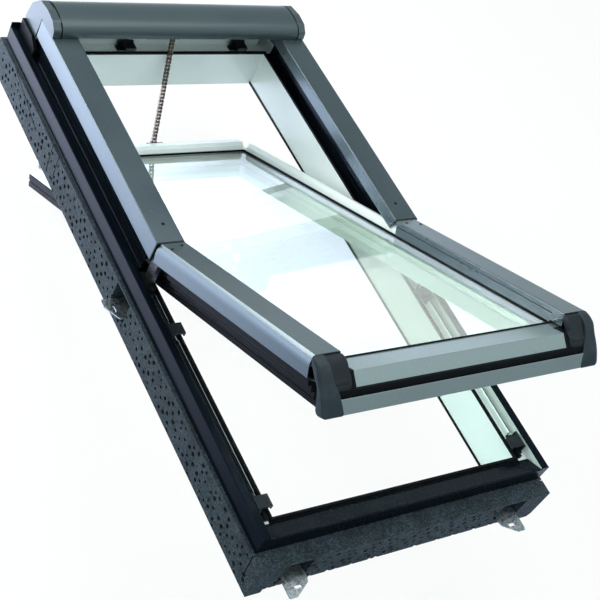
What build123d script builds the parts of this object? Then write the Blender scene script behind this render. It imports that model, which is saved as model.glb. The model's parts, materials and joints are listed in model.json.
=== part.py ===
from build123d import *
from math import atan2, cos, degrees, hypot, radians, sin, tan
import os

# Centre-pivot roof window with its insulated frame, standing open.
# The roof plane is XY, +X across the window, +Y up the slope, +Z out to the sky.
# The origin is the middle of the four corner bracket slots, on the underside of the brackets.
# All sizes are millimetres and degrees.

# Whole window
frame_width = 740.0
frame_length = 1400.0
open_angle = 28.0
fit_gap = 0.3

# Heights above the bracket underside
reveal_bottom = -26.0
insulation_bottom = -40.0
insulation_top = 55.0
rebate_level = 76.0
rim_level = 102.0
head_rim_level = 114.0
cover_level = 193.0
hood_level = 229.0

# Frame members, plastic
stile_width = 54.0
sill_width = 52.0
head_width = 71.0
head_rim_width = 32.5
inner_wall = 20.0
rim_width = 18.5
lining_groove = 6.0

# Frame cladding, folded aluminium
cladding_gauge = 1.5
cladding_bend = 2.0
bead_depth = 1.2
bead_height = 3.0
bead_rise = 1.0
rim_drop = 3.0
upstand_level = 148.0
upstand_gauge = 2.0
sill_slope = 20.0

# Insulation blocks, expanded foam
insulation_side = 42.0
insulation_sill = 71.0
insulation_head = 66.0
insulation_chamfer = 12.0
slit_width = 3.0
slit_depth = 5.0

# Seals
seal_width = 10.0
seal_foot = 1.2
bulb_width = 6.5
seal_height = 6.0
lining_seal_reach = 2.0

# Upper side covers and the rails that carry them
cover_width = 66.0
cover_inset = 24.0
cover_gauge = 2.0
cover_bend = 3.0
cover_drop = 52.0
cover_flange = 30.0
cover_return = 8.0
cover_end = -56.0
rail_gauge = 2.5
rail_foot = 8.0
rail_rib = 3.0
strip_width = 5.0
strip_height = 14.0
plug_lip = 3.0
plug_depth = 12.0
plug_band = 10.0
plug_side = 6.0

# Hood over the top end
hood_length = 137.0
hood_gauge = 2.0
hood_cap_width = 21.0
hood_cap_gauge = 2.5
hood_foot = 136.0

# Sash
pivot_y = -69.0
pivot_level = 159.0
sash_side_gap = 5.0
sash_bottom = 84.0
sash_top = 181.0
sash_head_end = 604.0
sash_rail_end = -654.0
sash_wall = 9.0
sash_ledge = 34.0
upper_step_width = 15.0
upper_step_level = 116.0
upper_start = -60.0
bead_end = -81.0
sash_head_depth = 45.0
sash_rail_depth = 81.0
lip_height = 24.0

# Glazing
glass_level = 156.0
pane_gauge = 4.0
pane_gap = 16.0
spacer_width = 11.0
gasket_width = 3.5

# Lower covers and bottom rail cladding
lower_cover_in = 37.0
lower_cover_start = -78.0
lower_cover_slant = 11.0
lower_cover_drop = 45.0
ridge_inset = 10.0
ridge_fall = 26.0
pane_in = 52.0
rail_edge_in = 14.0
rail_edge_level = 163.0
rail_flat = 54.0
rail_front_out = 2.0
rail_front_level = 137.0
strip_top_out = 13.0
strip_top_level = 125.0
strip_foot_out = 20.0
strip_foot_level = 97.0
groove_seal = 10.0
groove_seal_top = 130.0
profile_gauge = 2.5
profile_low = 84.5
end_cap_width = 49.0
end_cap_inner = 28.0
end_cap_round = 8.0

# Pivot bearings
pin_radius = 6.0
pin_clearance = 0.05
boss_radius = 12.0
bearing_gauge = 12.0
arm_gauge = 4.0
bearing_out = 11.0
bearing_foot_down = 40.0
bearing_foot_up = 30.0
arm_low = 117.0
arm_high = 178.0
arm_down = 49.0
arm_up = 40.0

# Chain opener
chain_x = 28.0
chain_mouth_y = 638.0
chain_mouth_level = 130.0
chain_hook_y = 611.5
chain_hook_level = 179.0
chain_pitch = 9.525
link_height = 8.0
link_gauge = 1.0
chain_inner_width = 5.0
chain_pin_radius = 1.65
drive_length = 90.0
drive_depth = 43.0
drive_height = 46.0
hook_gauge = 3.0

# Mounting brackets
bracket_gauge = 3.0
bracket_length = 57.0
bracket_tip = 19.0
bracket_leg = 34.0
bracket_x = 281.0
slot_y = 764.0
side_slot_out = 8.0
slot_length = 18.0
slot_radius = 3.5
nail_hole_radius = 2.5
nail_hole_offset = 16.0
side_bracket_y = -70.0
screw_head_radius = 5.5
screw_head_height = 2.5

# Locking strikers
striker_length = 48.0
striker_width = 16.0
striker_height = 22.0
striker_gauge = 3.0
striker_out = 15.0
striker_tongue = 16.5
striker_low_y = -618.0
striker_high_y = -203.0
striker_head_left_x = -83.0
striker_head_right_x = 241.0

# Places worked out from the sizes above
half_width = frame_width / 2
half_length = frame_length / 2
opening_x = half_width - stile_width
opening_low = -half_length + sill_width
opening_high = half_length - head_width
rim_inner_x = half_width - rim_width
head_rim_y = half_length - head_rim_width
plastic_edge = cladding_gauge + 0.2
cladding_reach = rim_inner_x - fit_gap
wall_outer_x = opening_x + inner_wall
cover_outer_x = half_width - cover_inset
cover_inner_x = cover_outer_x - cover_width
cover_under = cover_level - cover_gauge
hood_front_y = half_length - 10.0 - hood_length
hood_back_y = hood_front_y + hood_length
insulation_x = wall_outer_x + insulation_side
insulation_low = opening_low - inner_wall - insulation_sill
insulation_high = opening_high + inner_wall + insulation_head
sash_x = opening_x - sash_side_gap
sash_inner_x = sash_x - sash_wall - sash_ledge
upper_wall_x = sash_x - upper_step_width
lip_inner_x = sash_inner_x + 16.0
lip_low = glass_level + 1.0
lip_high = glass_level + lip_height
pane_x = upper_wall_x - 4.0
pane_low = sash_rail_end + pane_in
pane_high = sash_head_end - sash_wall - 2.0
ledge_level = glass_level - 2 * pane_gauge - pane_gap
lower_cover_end = sash_rail_end + lower_cover_in
rail_edge_y = sash_rail_end + rail_edge_in
rail_front_y = sash_rail_end - rail_front_out
strip_top_y = sash_rail_end - strip_top_out
strip_foot_y = sash_rail_end - strip_foot_out
web_x = cover_outer_x - cover_return - fit_gap
bead_level = insulation_top + fit_gap + bead_rise
pivot_axis = Axis((0, pivot_y, pivot_level), (1, 0, 0))


def side_run(section, y_from, y_to):
    """A section drawn in X and Z, run along Y."""
    return extrude(Plane.XZ.offset(-y_to) * section, amount=y_to - y_from)


def cross_run(section, x_from, x_to):
    """A section drawn in Y and Z, run along X."""
    return extrude(Plane.YZ.offset(x_from) * section, amount=x_to - x_from)


def outline(*points):
    return make_face(Polyline(*points, close=True))


def sheet(*points, gauge, bend, side=Side.RIGHT):
    """Section of a sheet folded along an open line of points."""
    line = FilletPolyline(*points, radius=bend)
    return make_face(offset(line, amount=gauge, side=side).edges())


def block(x0, x1, y0, y1, z0, z1):
    return Pos((x0 + x1) / 2, (y0 + y1) / 2, (z0 + z1) / 2) * Box(x1 - x0, y1 - y0, z1 - z0)


def mirrored(shape):
    return mirror(shape, about=Plane.YZ)


def swung(shape):
    """Moves a sash piece from shut to the open position."""
    return shape.rotate(pivot_axis, -open_angle)


# Frame members

def frame_stile():
    """Plastic side member: inner wall down to the lining groove, rebate and outer rim."""
    outer = half_width - plastic_edge
    rim_in = rim_inner_x + plastic_edge
    section = outline(
        (opening_x, reveal_bottom + lining_groove),
        (opening_x, rebate_level),
        (rim_in, rebate_level),
        (rim_in, rim_level - plastic_edge),
        (outer, rim_level - plastic_edge),
        (outer, insulation_top),
        (wall_outer_x, insulation_top),
        (wall_outer_x, reveal_bottom),
        (opening_x + inner_wall / 2, reveal_bottom),
        (opening_x + inner_wall / 2, reveal_bottom + lining_groove),
    )
    reach = half_length - plastic_edge
    body = side_run(section, -reach, reach)
    low, high = reveal_bottom - 1, insulation_top
    body -= block(0, half_width, -half_length, opening_low - inner_wall, low, high)
    return body - block(0, half_width, opening_high + inner_wall, half_length, low, high)


def frame_head():
    """Plastic top member between the side members."""
    rim_in = head_rim_y + plastic_edge
    rim_top = head_rim_level - plastic_edge
    outer = half_length - plastic_edge
    section = outline(
        (opening_high, reveal_bottom),
        (opening_high, rebate_level),
        (rim_in, rebate_level),
        (rim_in, rim_top),
        (outer, rim_top),
        (outer, insulation_top),
        (opening_high + inner_wall, insulation_top),
        (opening_high + inner_wall, reveal_bottom),
    )
    return cross_run(section, -opening_x, opening_x)


def frame_sill():
    """Plastic bottom member with a top that slopes up and outwards."""
    outer = -half_length + plastic_edge
    section = outline(
        (opening_low, reveal_bottom + lining_groove),
        (opening_low, rebate_level),
        (opening_low - seal_width - 1.0, rebate_level),
        (outer, rebate_level + sill_slope - 1.5),
        (outer, insulation_top),
        (opening_low - inner_wall, insulation_top),
        (opening_low - inner_wall, reveal_bottom),
        (opening_low - inner_wall / 2, reveal_bottom),
        (opening_low - inner_wall / 2, reveal_bottom + lining_groove),
    )
    return cross_run(section, -opening_x, opening_x)


# Frame cladding

def stile_cladding():
    """Folded sheet over the outer face and the rim, with a bead along the outer face."""
    section = sheet(
        (rim_inner_x, rim_level - rim_drop),
        (rim_inner_x, rim_level),
        (half_width, rim_level),
        (half_width, insulation_top + fit_gap),
        gauge=cladding_gauge, bend=cladding_bend,
    )
    reach = half_length - plastic_edge
    body = side_run(section, -reach, reach)
    bead = outline(
        (half_width - 0.5, bead_level),
        (half_width, bead_level),
        (half_width + bead_depth, bead_level + bead_height / 2),
        (half_width, bead_level + bead_height),
        (half_width - 0.5, bead_level + bead_height),
    )
    return body + side_run(bead, -reach, reach)


def head_cladding():
    """Folded sheet over the top member, with an upstand that backs the hood."""
    section = sheet(
        (head_rim_y, head_rim_level - rim_drop),
        (head_rim_y, head_rim_level),
        (half_length, head_rim_level),
        (half_length, insulation_top + fit_gap),
        gauge=cladding_gauge, bend=cladding_bend,
    )
    face = hood_back_y - hood_gauge - fit_gap
    upstand = outline(
        (face - upstand_gauge, head_rim_level),
        (face - upstand_gauge, upstand_level),
        (face, upstand_level),
        (face, head_rim_level),
    )
    reach = cover_outer_x - hood_cap_width - 1.0
    body = cross_run(section, -cladding_reach, cladding_reach)
    body += cross_run(upstand, -reach, reach)
    return body + end_tabs(half_length - cladding_gauge, half_length, head_rim_level)


def end_tabs(y_from, y_to, top):
    """Upright tabs at both ends of a cladding sheet, over the ends of the side members."""
    tab = block(cladding_reach - 1.0, half_width, y_from, y_to, insulation_top + fit_gap, top)
    return tab + mirrored(tab)


def sill_cladding():
    """Sloping sill sheet that turns down over the front of the bottom member."""
    section = sheet(
        (opening_low - seal_width - fit_gap, rebate_level + plastic_edge),
        (-half_length, rebate_level + sill_slope + plastic_edge),
        (-half_length, insulation_top + fit_gap),
        gauge=cladding_gauge, bend=cladding_bend, side=Side.LEFT,
    )
    body = cross_run(section, -cladding_reach, cladding_reach)
    return body + end_tabs(-half_length, -half_length + cladding_gauge, rim_level)


# Insulation

def bracket_notch(x, y, along_x):
    """Pocket in a block where a bracket sits against the frame."""
    length = bracket_length + 10.0
    if along_x:
        return block(x - length / 2, x + length / 2, y, y + 200, -6, insulation_top - 5)
    return block(x, x + 200, y - length / 2, y + length / 2, -6, insulation_top - 5)


def insulation_stile():
    """Side block, chamfered at its top end, with slits and a bracket pocket."""
    section = outline(
        (wall_outer_x + 0.1, insulation_bottom),
        (insulation_x - insulation_chamfer / 2, insulation_bottom),
        (insulation_x, insulation_bottom + insulation_chamfer),
        (insulation_x, insulation_top),
        (wall_outer_x + 0.1, insulation_top),
    )
    body = side_run(section, insulation_low, insulation_high)
    cut_end = outline(
        (insulation_high - 45.0, insulation_bottom - 1),
        (insulation_high + 1, insulation_bottom - 1),
        (insulation_high + 1, insulation_bottom + 26.0),
        (insulation_high - 6.0, insulation_bottom + 20.0),
    )
    body -= cross_run(cut_end, 0, half_width * 2)
    body -= bracket_notch(wall_outer_x, side_bracket_y, False)
    for slit in (foam_slit(601.0, 55.0, 438.0, 18.0), foam_slit(358.0, 62.0, 350.0, -16.0),
                 foam_slit(321.0, 65.0, 316.0, -18.0), foam_slit(-704.0, 60.0, -713.0, -12.0)):
        body -= slit
    return body


def foam_slit(y0, z0, y1, z1):
    """Cut for a straight slit in the outer face of a side block, from one point to another."""
    slit = Box(slit_depth * 2, hypot(y1 - y0, z1 - z0), slit_width)
    turn = degrees(atan2(z1 - z0, y1 - y0))
    return Pos(insulation_x, (y0 + y1) / 2, (z0 + z1) / 2) * Rot(X=turn) * slit


def insulation_end(wall_y, end_y):
    """Cross block between the side blocks, with two bracket pockets."""
    low, high = sorted((wall_y, end_y))
    body = block(-wall_outer_x, wall_outer_x, low, high, insulation_bottom, insulation_top)
    outer_edge = body.edges().filter_by(Axis.X).sort_by(Axis.Z)[:2].sort_by(Axis.Y)
    body = chamfer(outer_edge[0] if end_y < wall_y else outer_edge[-1], insulation_chamfer)
    for side in (-1, 1):
        cut_from = end_y - 1 if end_y < wall_y else wall_y
        pocket = block(
            side * bracket_x - bracket_length / 2 - 5, side * bracket_x + bracket_length / 2 + 5,
            cut_from, cut_from + abs(end_y - wall_y) + 1, -6, insulation_top - 5,
        )
        body -= pocket
    return body


# Seals

def ring(x_in, x_out, low_in, low_out, high_in, high_out, z0, z1):
    outer = block(-x_out, x_out, low_out, high_out, z0, z1)
    return outer - block(-x_in, x_in, low_in, high_in, z0 - 1, z1 + 1)


def frame_seal():
    """Rubber bulb on a thin foot round the rebate, just outside the daylight opening."""
    b, w = bulb_width, seal_width
    bulb = ring(
        opening_x, opening_x + b, opening_low, opening_low - b, opening_high, opening_high + b,
        rebate_level, rebate_level + seal_height,
    )
    bulb = fillet(bulb.edges().group_by(Axis.Z)[-1], 1.2)
    return bulb + ring(
        opening_x, opening_x + w, opening_low, opening_low - w, opening_high, opening_high + w,
        rebate_level, rebate_level + seal_foot,
    )


def lining_seal():
    """Black strip in the groove at the room side of the reveal, on the sides and the sill."""
    depth = inner_wall / 2
    low, high = reveal_bottom, reveal_bottom + lining_groove
    side = block(
        opening_x - lining_seal_reach, opening_x + depth, opening_low - depth, opening_high, low, high,
    )
    sill = block(
        -opening_x, opening_x, opening_low - depth, opening_low + lining_seal_reach, low, high,
    )
    return side + mirrored(side) + sill


# Upper covers

def cover_section():
    return sheet(
        (cover_inner_x, cover_level - cover_flange),
        (cover_inner_x, cover_level),
        (cover_outer_x, cover_level),
        (cover_outer_x, cover_level - cover_drop),
        (cover_outer_x - cover_return, cover_level - cover_drop),
        gauge=cover_gauge, bend=cover_bend,
    )


def upper_cover():
    """Folded aluminium cover along the upper half of a side member."""
    return side_run(cover_section(), cover_end, hood_back_y - 72.0)


def cover_rail():
    """Upright rail that carries the cover above the rebate, with a rib near its foot."""
    section = outline(
        (web_x, rebate_level),
        (web_x + rail_rib, rebate_level + rail_rib),
        (web_x + rail_rib, rebate_level + strip_height),
        (web_x, rebate_level + strip_height + rail_rib),
        (web_x, cover_under - rail_gauge),
        (web_x + rail_foot / 2, cover_under - rail_gauge),
        (web_x + rail_foot / 2, cover_under),
        (web_x - rail_gauge, cover_under),
        (web_x - rail_gauge, rebate_level + rail_gauge),
        (web_x - rail_gauge - rail_foot, rebate_level + rail_gauge),
        (web_x - rail_gauge - rail_foot, rebate_level),
    )
    return side_run(section, cover_end + plug_depth + 8.0, opening_high)


def rebate_strip(y_from, y_to):
    """Low strip that carries the rail's line on along the lower half of the rebate."""
    section = outline(
        (web_x - strip_width, rebate_level),
        (web_x - strip_width, rebate_level + strip_height - rail_gauge),
        (web_x - strip_width + rail_gauge, rebate_level + strip_height),
        (web_x, rebate_level + strip_height),
        (web_x, rebate_level),
    )
    return side_run(section, y_from, y_to)


def rebate_strips():
    """Strips on both sides, between the catches and up to the pivot's foot."""
    clear = striker_length / 2 + 1.0
    lower = rebate_strip(striker_low_y + clear, striker_high_y - clear)
    upper = rebate_strip(striker_high_y + clear, pivot_y - bearing_foot_down - 1.0)
    return lower + mirrored(lower) + upper + mirrored(upper)


def cover_plug():
    """Moulded plug that closes the lower end of a cover."""
    inner = block(
        cover_inner_x + cover_gauge + fit_gap, cover_outer_x - cover_gauge - fit_gap,
        cover_end, cover_end + plug_depth, cover_level - plug_band, cover_under - fit_gap,
    )
    inner -= block(
        cover_outer_x - plug_band, cover_outer_x, cover_end, cover_end + plug_depth,
        cover_under - cover_bend, cover_level,
    )
    lip = block(
        cover_inner_x, cover_outer_x, cover_end - plug_lip, cover_end,
        cover_level - cover_drop, cover_level,
    )
    lip -= block(
        cover_inner_x - 1, cover_outer_x - plug_side, cover_end - plug_lip - 1, cover_end + 1,
        0, cover_level - plug_band,
    )
    corners = lip.edges().filter_by(Axis.Y).group_by(Axis.Z)[-1]
    return inner + fillet(corners, cover_bend)


# Hood

def hood_line():
    """Line of the hood's outer face from its front lip over the top to its foot."""
    front = hood_front_y
    back = hood_back_y
    return FilletPolyline(
        (front, cover_level + 1.0),
        (front + 3.0, cover_level + 19.0),
        (front + 22.0, hood_level - 3.0),
        (front + 55.0, hood_level),
        (front + 97.0, hood_level - 7.0),
        (back - 10.0, cover_level - 3.0),
        (back, cover_level - 43.0),
        (back, hood_foot),
        radius=10.0,
    )


def hood_sheet():
    """Bent sheet over the top end of the window."""
    section = make_face(offset(hood_line(), amount=hood_gauge, side=Side.RIGHT).edges())
    reach = cover_outer_x - hood_cap_width
    return cross_run(section, -reach, reach)


def hood_cap():
    """Moulded end of the hood: a band that follows its line and an end wall."""
    line = hood_line()
    band = make_face(offset(line, amount=hood_cap_gauge + 1.0, side=Side.RIGHT).edges())
    body = cross_run(band, cover_outer_x - hood_cap_width, cover_outer_x)
    front, back = hood_front_y, hood_back_y
    wall_line = Polyline(
        (back, hood_foot), (back - 66.0, hood_foot),
        (back - 70.0, cover_level + 0.3), (front, cover_level + 1.0),
    )
    wall = make_face(line.edges() + wall_line.edges())
    return body + cross_run(wall, cover_outer_x - hood_cap_gauge, cover_outer_x)


# Sash frame

def sash_stile():
    """Plastic side of the sash: a high outer wall below, a stepped one with a glass lip above."""
    lower = outline(
        (sash_inner_x, sash_bottom),
        (sash_inner_x, ledge_level - 4.0),
        (sash_inner_x + 4.0, ledge_level),
        (sash_x - sash_wall, ledge_level),
        (sash_x - sash_wall, sash_top),
        (sash_x, sash_top),
        (sash_x, sash_bottom),
    )
    upper = outline(
        (sash_inner_x, sash_bottom),
        (sash_inner_x, ledge_level - 4.0),
        (sash_inner_x + 4.0, ledge_level),
        (pane_x + fit_gap, ledge_level),
        (pane_x + fit_gap, lip_low),
        (lip_inner_x, lip_low),
        (lip_inner_x, lip_high - 8.0),
        (lip_inner_x + 6.0, lip_high),
        (upper_wall_x, lip_high),
        (upper_wall_x, upper_step_level),
        (sash_x, upper_step_level),
        (sash_x, sash_bottom),
    )
    lip = outline(
        (lip_inner_x, lip_low),
        (lip_inner_x, lip_high - 8.0),
        (lip_inner_x + 6.0, lip_high),
        (sash_x - sash_wall, lip_high),
        (sash_x - sash_wall, lip_low),
    )
    body = side_run(lower, sash_rail_end + sash_rail_depth, upper_start)
    body += side_run(lip, bead_end + fit_gap, upper_start)
    return body + side_run(upper, upper_start, sash_head_end - sash_head_depth)


def sash_head():
    """Plastic top rail of the sash, with its lip over the glass between the upper covers."""
    end = sash_head_end
    inner = end - sash_head_depth
    low_part = outline(
        (inner, sash_bottom), (inner, upper_step_level), (end, upper_step_level), (end, sash_bottom),
    )
    middle_level = cover_level - cover_flange - fit_gap
    middle = outline(
        (inner, upper_step_level),
        (inner, ledge_level - 4.0),
        (inner + 4.0, ledge_level),
        (end - sash_wall, ledge_level),
        (end - sash_wall, lip_low),
        (inner + 14.0, lip_low),
        (inner + 14.0, middle_level),
        (end, middle_level),
        (end, upper_step_level),
    )
    top = outline(
        (inner + 14.0, middle_level),
        (inner + 14.0, lip_high - 8.0),
        (inner + 20.0, lip_high),
        (end - 3.0, lip_high),
        (end, lip_high - 3.0),
        (end, middle_level),
    )
    top_reach = cover_inner_x - fit_gap
    body = cross_run(low_part, -sash_x, sash_x) + cross_run(middle, -upper_wall_x, upper_wall_x)
    return body + cross_run(top, -top_reach, top_reach)


def sash_rail():
    """Plastic bottom rail of the sash under its cladding."""
    low = sash_rail_end
    section = outline(
        (low + sash_rail_depth, sash_bottom),
        (low + sash_rail_depth, ledge_level - 4.0),
        (low + sash_rail_depth - 4.0, ledge_level),
        (pane_low - 0.5, ledge_level),
        (pane_low - 0.5, glass_level),
        (rail_edge_y, glass_level),
        (low, rail_front_level - 8.0),
        (low, sash_bottom),
    )
    return cross_run(section, -sash_x, sash_x)


def side_profile():
    """Black carrier along the sash: a grooved strip, stepped out under the lower cover."""
    inner = sash_x + fit_gap / 3
    outer = sash_x + profile_gauge
    top = upper_step_level - 0.5
    groove = (profile_low + top) / 2
    strip = outline(
        (inner, profile_low), (outer, profile_low + 1.0), (outer, groove - 3.0),
        (outer - 1.5, groove - 2.0), (outer - 1.5, groove + 2.0), (outer, groove + 3.0),
        (outer, top - 1.0), (inner, top),
    )
    levels = (146.0, 132.0, 118.0, 104.0)
    reach = (29.0, 20.0, 11.0)
    points = [(inner, levels[0])]
    for step, out in enumerate(reach):
        points.append((sash_x + out, levels[step]))
        points.append((sash_x + out, levels[step + 1] + 2.0))
        points.append((sash_x + out - 2.0, levels[step + 1]))
    points.append((inner, levels[-1]))
    body = side_run(strip, lower_cover_end + 2.0, sash_head_end)
    return body + side_run(outline(*points), lower_cover_end + 2.0, pivot_y - arm_down - 1.0)


# Glazing

def pane(level):
    return block(-pane_x, pane_x, pane_low, pane_high, level - pane_gauge, level)


def glass_spacer():
    inset = 2.0
    x, low, high = pane_x - inset, pane_low + inset, pane_high - inset
    w = spacer_width
    return ring(x - w, x, low + w, low, high - w, high, ledge_level + pane_gauge, glass_level - pane_gauge)


def glazing_gasket():
    """Black wedge between the glass and the beads, all round."""
    x = lip_inner_x
    low = rail_edge_y + rail_flat
    high = sash_head_end - sash_head_depth + 14.0
    w = gasket_width
    return ring(x - w, x, low + w, low, high - w, high, glass_level, glass_level + 4.5)


# Lower covers

def cover_side_line():
    """Rounded side of the lower cover's section, from its ridge to where it turns upright."""
    return ThreePointArc(
        (cover_outer_x - ridge_inset, cover_level),
        (cover_outer_x - ridge_inset * 0.2, cover_level - ridge_fall * 0.45),
        (cover_outer_x, cover_level - ridge_fall),
    )


def lower_cover():
    """Rounded aluminium cover on the lower half of the sash, cut on a slant at the pivot."""
    low = cover_level - lower_cover_drop
    inner = FilletPolyline(
        (cover_inner_x, cover_level - ridge_inset),
        (cover_inner_x, cover_level),
        (cover_outer_x - ridge_inset, cover_level),
        radius=cover_bend,
    )
    foot = FilletPolyline(
        (cover_outer_x, cover_level - ridge_fall),
        (cover_outer_x, low),
        (cover_outer_x - cover_return, low),
        radius=cover_bend,
    )
    line = Wire(inner.edges() + cover_side_line().edges() + foot.edges())
    section = make_face(offset(line, amount=cover_gauge, side=Side.RIGHT).edges())
    body = side_run(section, lower_cover_end, lower_cover_start + lower_cover_slant)
    slant = outline(
        (lower_cover_start, cover_level + 1),
        (lower_cover_start + lower_cover_slant, low - 1),
        (lower_cover_start + 60, low - 1),
        (lower_cover_start + 60, cover_level + 1),
    )
    return body - cross_run(slant, cover_inner_x - 5, cover_outer_x + 5)


def glazing_bead():
    """Bead under the cover's inner edge that presses on the glass gasket."""
    x = cover_inner_x
    section = outline(
        (x + 0.5, glass_level + 5.0),
        (x + 0.5, cover_level - 12.5),
        (x + cover_gauge + 0.5, cover_level - 12.5),
        (x + cover_gauge + 0.5, cover_level - 8.0),
        (sash_x - sash_wall - fit_gap, cover_level - 8.0),
        (sash_x - sash_wall - fit_gap, glass_level + 1.0),
        (x + 5.0, glass_level + 1.0),
        (x + 5.0, glass_level + 5.0),
    )
    return side_run(section, lower_cover_end + 32.0, bead_end)


def rail_cladding():
    """Sheet over the bottom rail: flat over the glass edge, then folded down the front."""
    section = sheet(
        (rail_edge_y + rail_flat, glass_level + 1.0 + cladding_gauge),
        (rail_edge_y, rail_edge_level),
        (rail_front_y, rail_front_level),
        (rail_front_y + 1.2, rail_front_level - 5.0),
        gauge=cladding_gauge, bend=cladding_bend, side=Side.LEFT,
    )
    reach = cover_outer_x - end_cap_width
    return cross_run(section, -reach, reach)


def rail_groove_seal():
    """Black rubber between the two cladding pieces of the bottom rail."""
    back = sash_rail_end - 0.2
    front = sash_rail_end - groove_seal
    low = sash_bottom + 20.0
    section = outline(
        (back, low), (back, groove_seal_top - 2.0), (back - 3.0, groove_seal_top),
        (front, groove_seal_top - 6.0), (front, low),
    )
    reach = cover_outer_x - end_cap_width
    return cross_run(section, -reach, reach)


def lower_strip():
    """Lower cladding strip of the bottom rail."""
    section = sheet(
        (strip_top_y, strip_top_level),
        (strip_foot_y, strip_foot_level),
        (sash_rail_end - 0.2, strip_foot_level - 1.0),
        gauge=cladding_gauge, bend=1.0, side=Side.LEFT,
    )
    reach = cover_outer_x - end_cap_width + 8.0
    return cross_run(section, -reach, reach)


def end_cap():
    """Moulded corner that closes a lower cover and the end of the bottom rail."""
    x_mid = cover_outer_x - end_cap_width + end_cap_inner
    x_in = cover_outer_x - end_cap_width
    start = lower_cover_end - fit_gap
    back = sash_rail_end - 1.0
    tip = strip_foot_y - 2.0
    nose = Spline(
        (start, cover_level - 0.5), (start - 24.0, cover_level - 14.0),
        (start - 42.0, cover_level - 45.0), (tip, strip_foot_level),
        tangents=((-1, -0.1), (-0.15, -1)),
    )
    nose_back = Polyline(
        (tip, strip_foot_level), (back, strip_foot_level - 1.0),
        (back, cover_level - lower_cover_drop), (start, cover_level - lower_cover_drop),
        (start, cover_level - 0.5),
    )
    outer = cross_run(make_face(nose.edges() + nose_back.edges()), x_mid, cover_outer_x)
    side = cover_side_line()
    side_back = Polyline(
        (cover_outer_x, cover_level - ridge_fall), (cover_outer_x, 0), (x_mid - 1, 0),
        (x_mid - 1, cover_level), (cover_outer_x - ridge_inset, cover_level),
    )
    outer &= side_run(make_face(side.edges() + side_back.edges()), tip - 1, start + 1)
    front = rail_front_y - 9.0
    low = rail_front_level - 8.0
    lobe = Spline(
        (start, cover_level - 3.0), (start - 22.0, cover_level - 12.0),
        (start - 40.0, cover_level - 36.0), (front, low),
        tangents=((-1, -0.1), (0.25, -1)),
    )
    lobe_back = Polyline(
        (front, low), (back, low), (back, glass_level), (rail_edge_y - 1.0, rail_edge_level + 1.0),
        (start, rail_edge_level + 1.0), (start, cover_level - 3.0),
    )
    inner = cross_run(make_face(lobe.edges() + lobe_back.edges()), x_in + 0.2, x_mid)
    outer &= rounded_plan(x_mid, cover_outer_x, tip)
    return outer + (inner & rounded_plan(x_in, x_mid + end_cap_round, front))


def rounded_plan(x0, x1, front):
    """Upright block with two rounded front corners, for cutting the ends of the end cap."""
    length = 200.0
    plan = Pos((x0 + x1) / 2, front - 0.5 + length / 2) * RectangleRounded(x1 - x0, length, end_cap_round)
    return extrude(plan, amount=300.0)


# Pivots

def pivot_bearing():
    """Frame side of a pivot: a leg on the rebate with a bored boss."""
    x0 = sash_x + arm_gauge + bearing_out
    x1 = x0 + bearing_gauge
    leg = block(x0, x1, pivot_y - boss_radius, pivot_y + boss_radius, rebate_level, pivot_level)
    boss = Pos((x0 + x1) / 2, pivot_y, pivot_level) * Rot(Y=90) * Cylinder(boss_radius, bearing_gauge)
    foot = block(
        x0, rim_inner_x - 0.2, pivot_y - bearing_foot_down, pivot_y + bearing_foot_up,
        rebate_level, rebate_level + arm_gauge,
    )
    foot += block(x0, x1, pivot_y - 26, pivot_y + 20, rebate_level, rebate_level + 14)
    bore = Pos((x0 + x1) / 2, pivot_y, pivot_level) * Rot(Y=90)
    return leg + boss + foot - bore * Cylinder(pin_radius + pin_clearance, bearing_gauge * 2)


def pivot_arm():
    """Sash side of a pivot: a plate on the stile with its pin."""
    x0, x1 = sash_x, sash_x + arm_gauge
    plate = block(x0, x1, pivot_y - arm_down, pivot_y + arm_up, arm_low, arm_high)
    plate = fillet(plate.edges().filter_by(Axis.X), 6.0)
    pin_end = x1 + bearing_out + bearing_gauge + 1.0
    pin = Pos((x0 + pin_end) / 2, pivot_y, pivot_level) * Rot(Y=90)
    collar = Pos(x1 + 5.0, pivot_y, pivot_level) * Rot(Y=90) * Cylinder(pin_radius + 3.5, 10.0)
    return plate + pin * Cylinder(pin_radius, pin_end - x0) + collar


# Chain opener

def shut_to_open(y, z):
    """Where a sash point, given shut, lies when the sash stands open."""
    turn = -radians(open_angle)
    dy, dz = y - pivot_y, z - pivot_level
    return pivot_y + dy * cos(turn) - dz * sin(turn), pivot_level + dy * sin(turn) + dz * cos(turn)


def chain_place():
    """The chain runs straight from the drive's mouth to the hook: its start, turn and length."""
    hook_y, hook_z = shut_to_open(chain_hook_y, chain_hook_level)
    dy, dz = hook_y - chain_mouth_y, hook_z - chain_mouth_level
    return hook_y, hook_z, degrees(atan2(dz, dy)), hypot(dy, dz)


def link_plate():
    """One link plate with eight-sided ends, lying along Y."""
    half = chain_pitch / 2
    r = link_height / 2
    corner = r * tan(radians(22.5))
    section = outline(
        (-half - r, -corner), (-half - corner, -r), (half + corner, -r), (half + r, -corner),
        (half + r, corner), (half + corner, r), (-half - corner, r), (-half - r, corner),
    )
    return cross_run(section, -link_gauge / 2, link_gauge / 2)


def chain_pin(length):
    return Rot(Y=90) * extrude(RegularPolygon(chain_pin_radius, 8), amount=length / 2, both=True)


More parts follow.
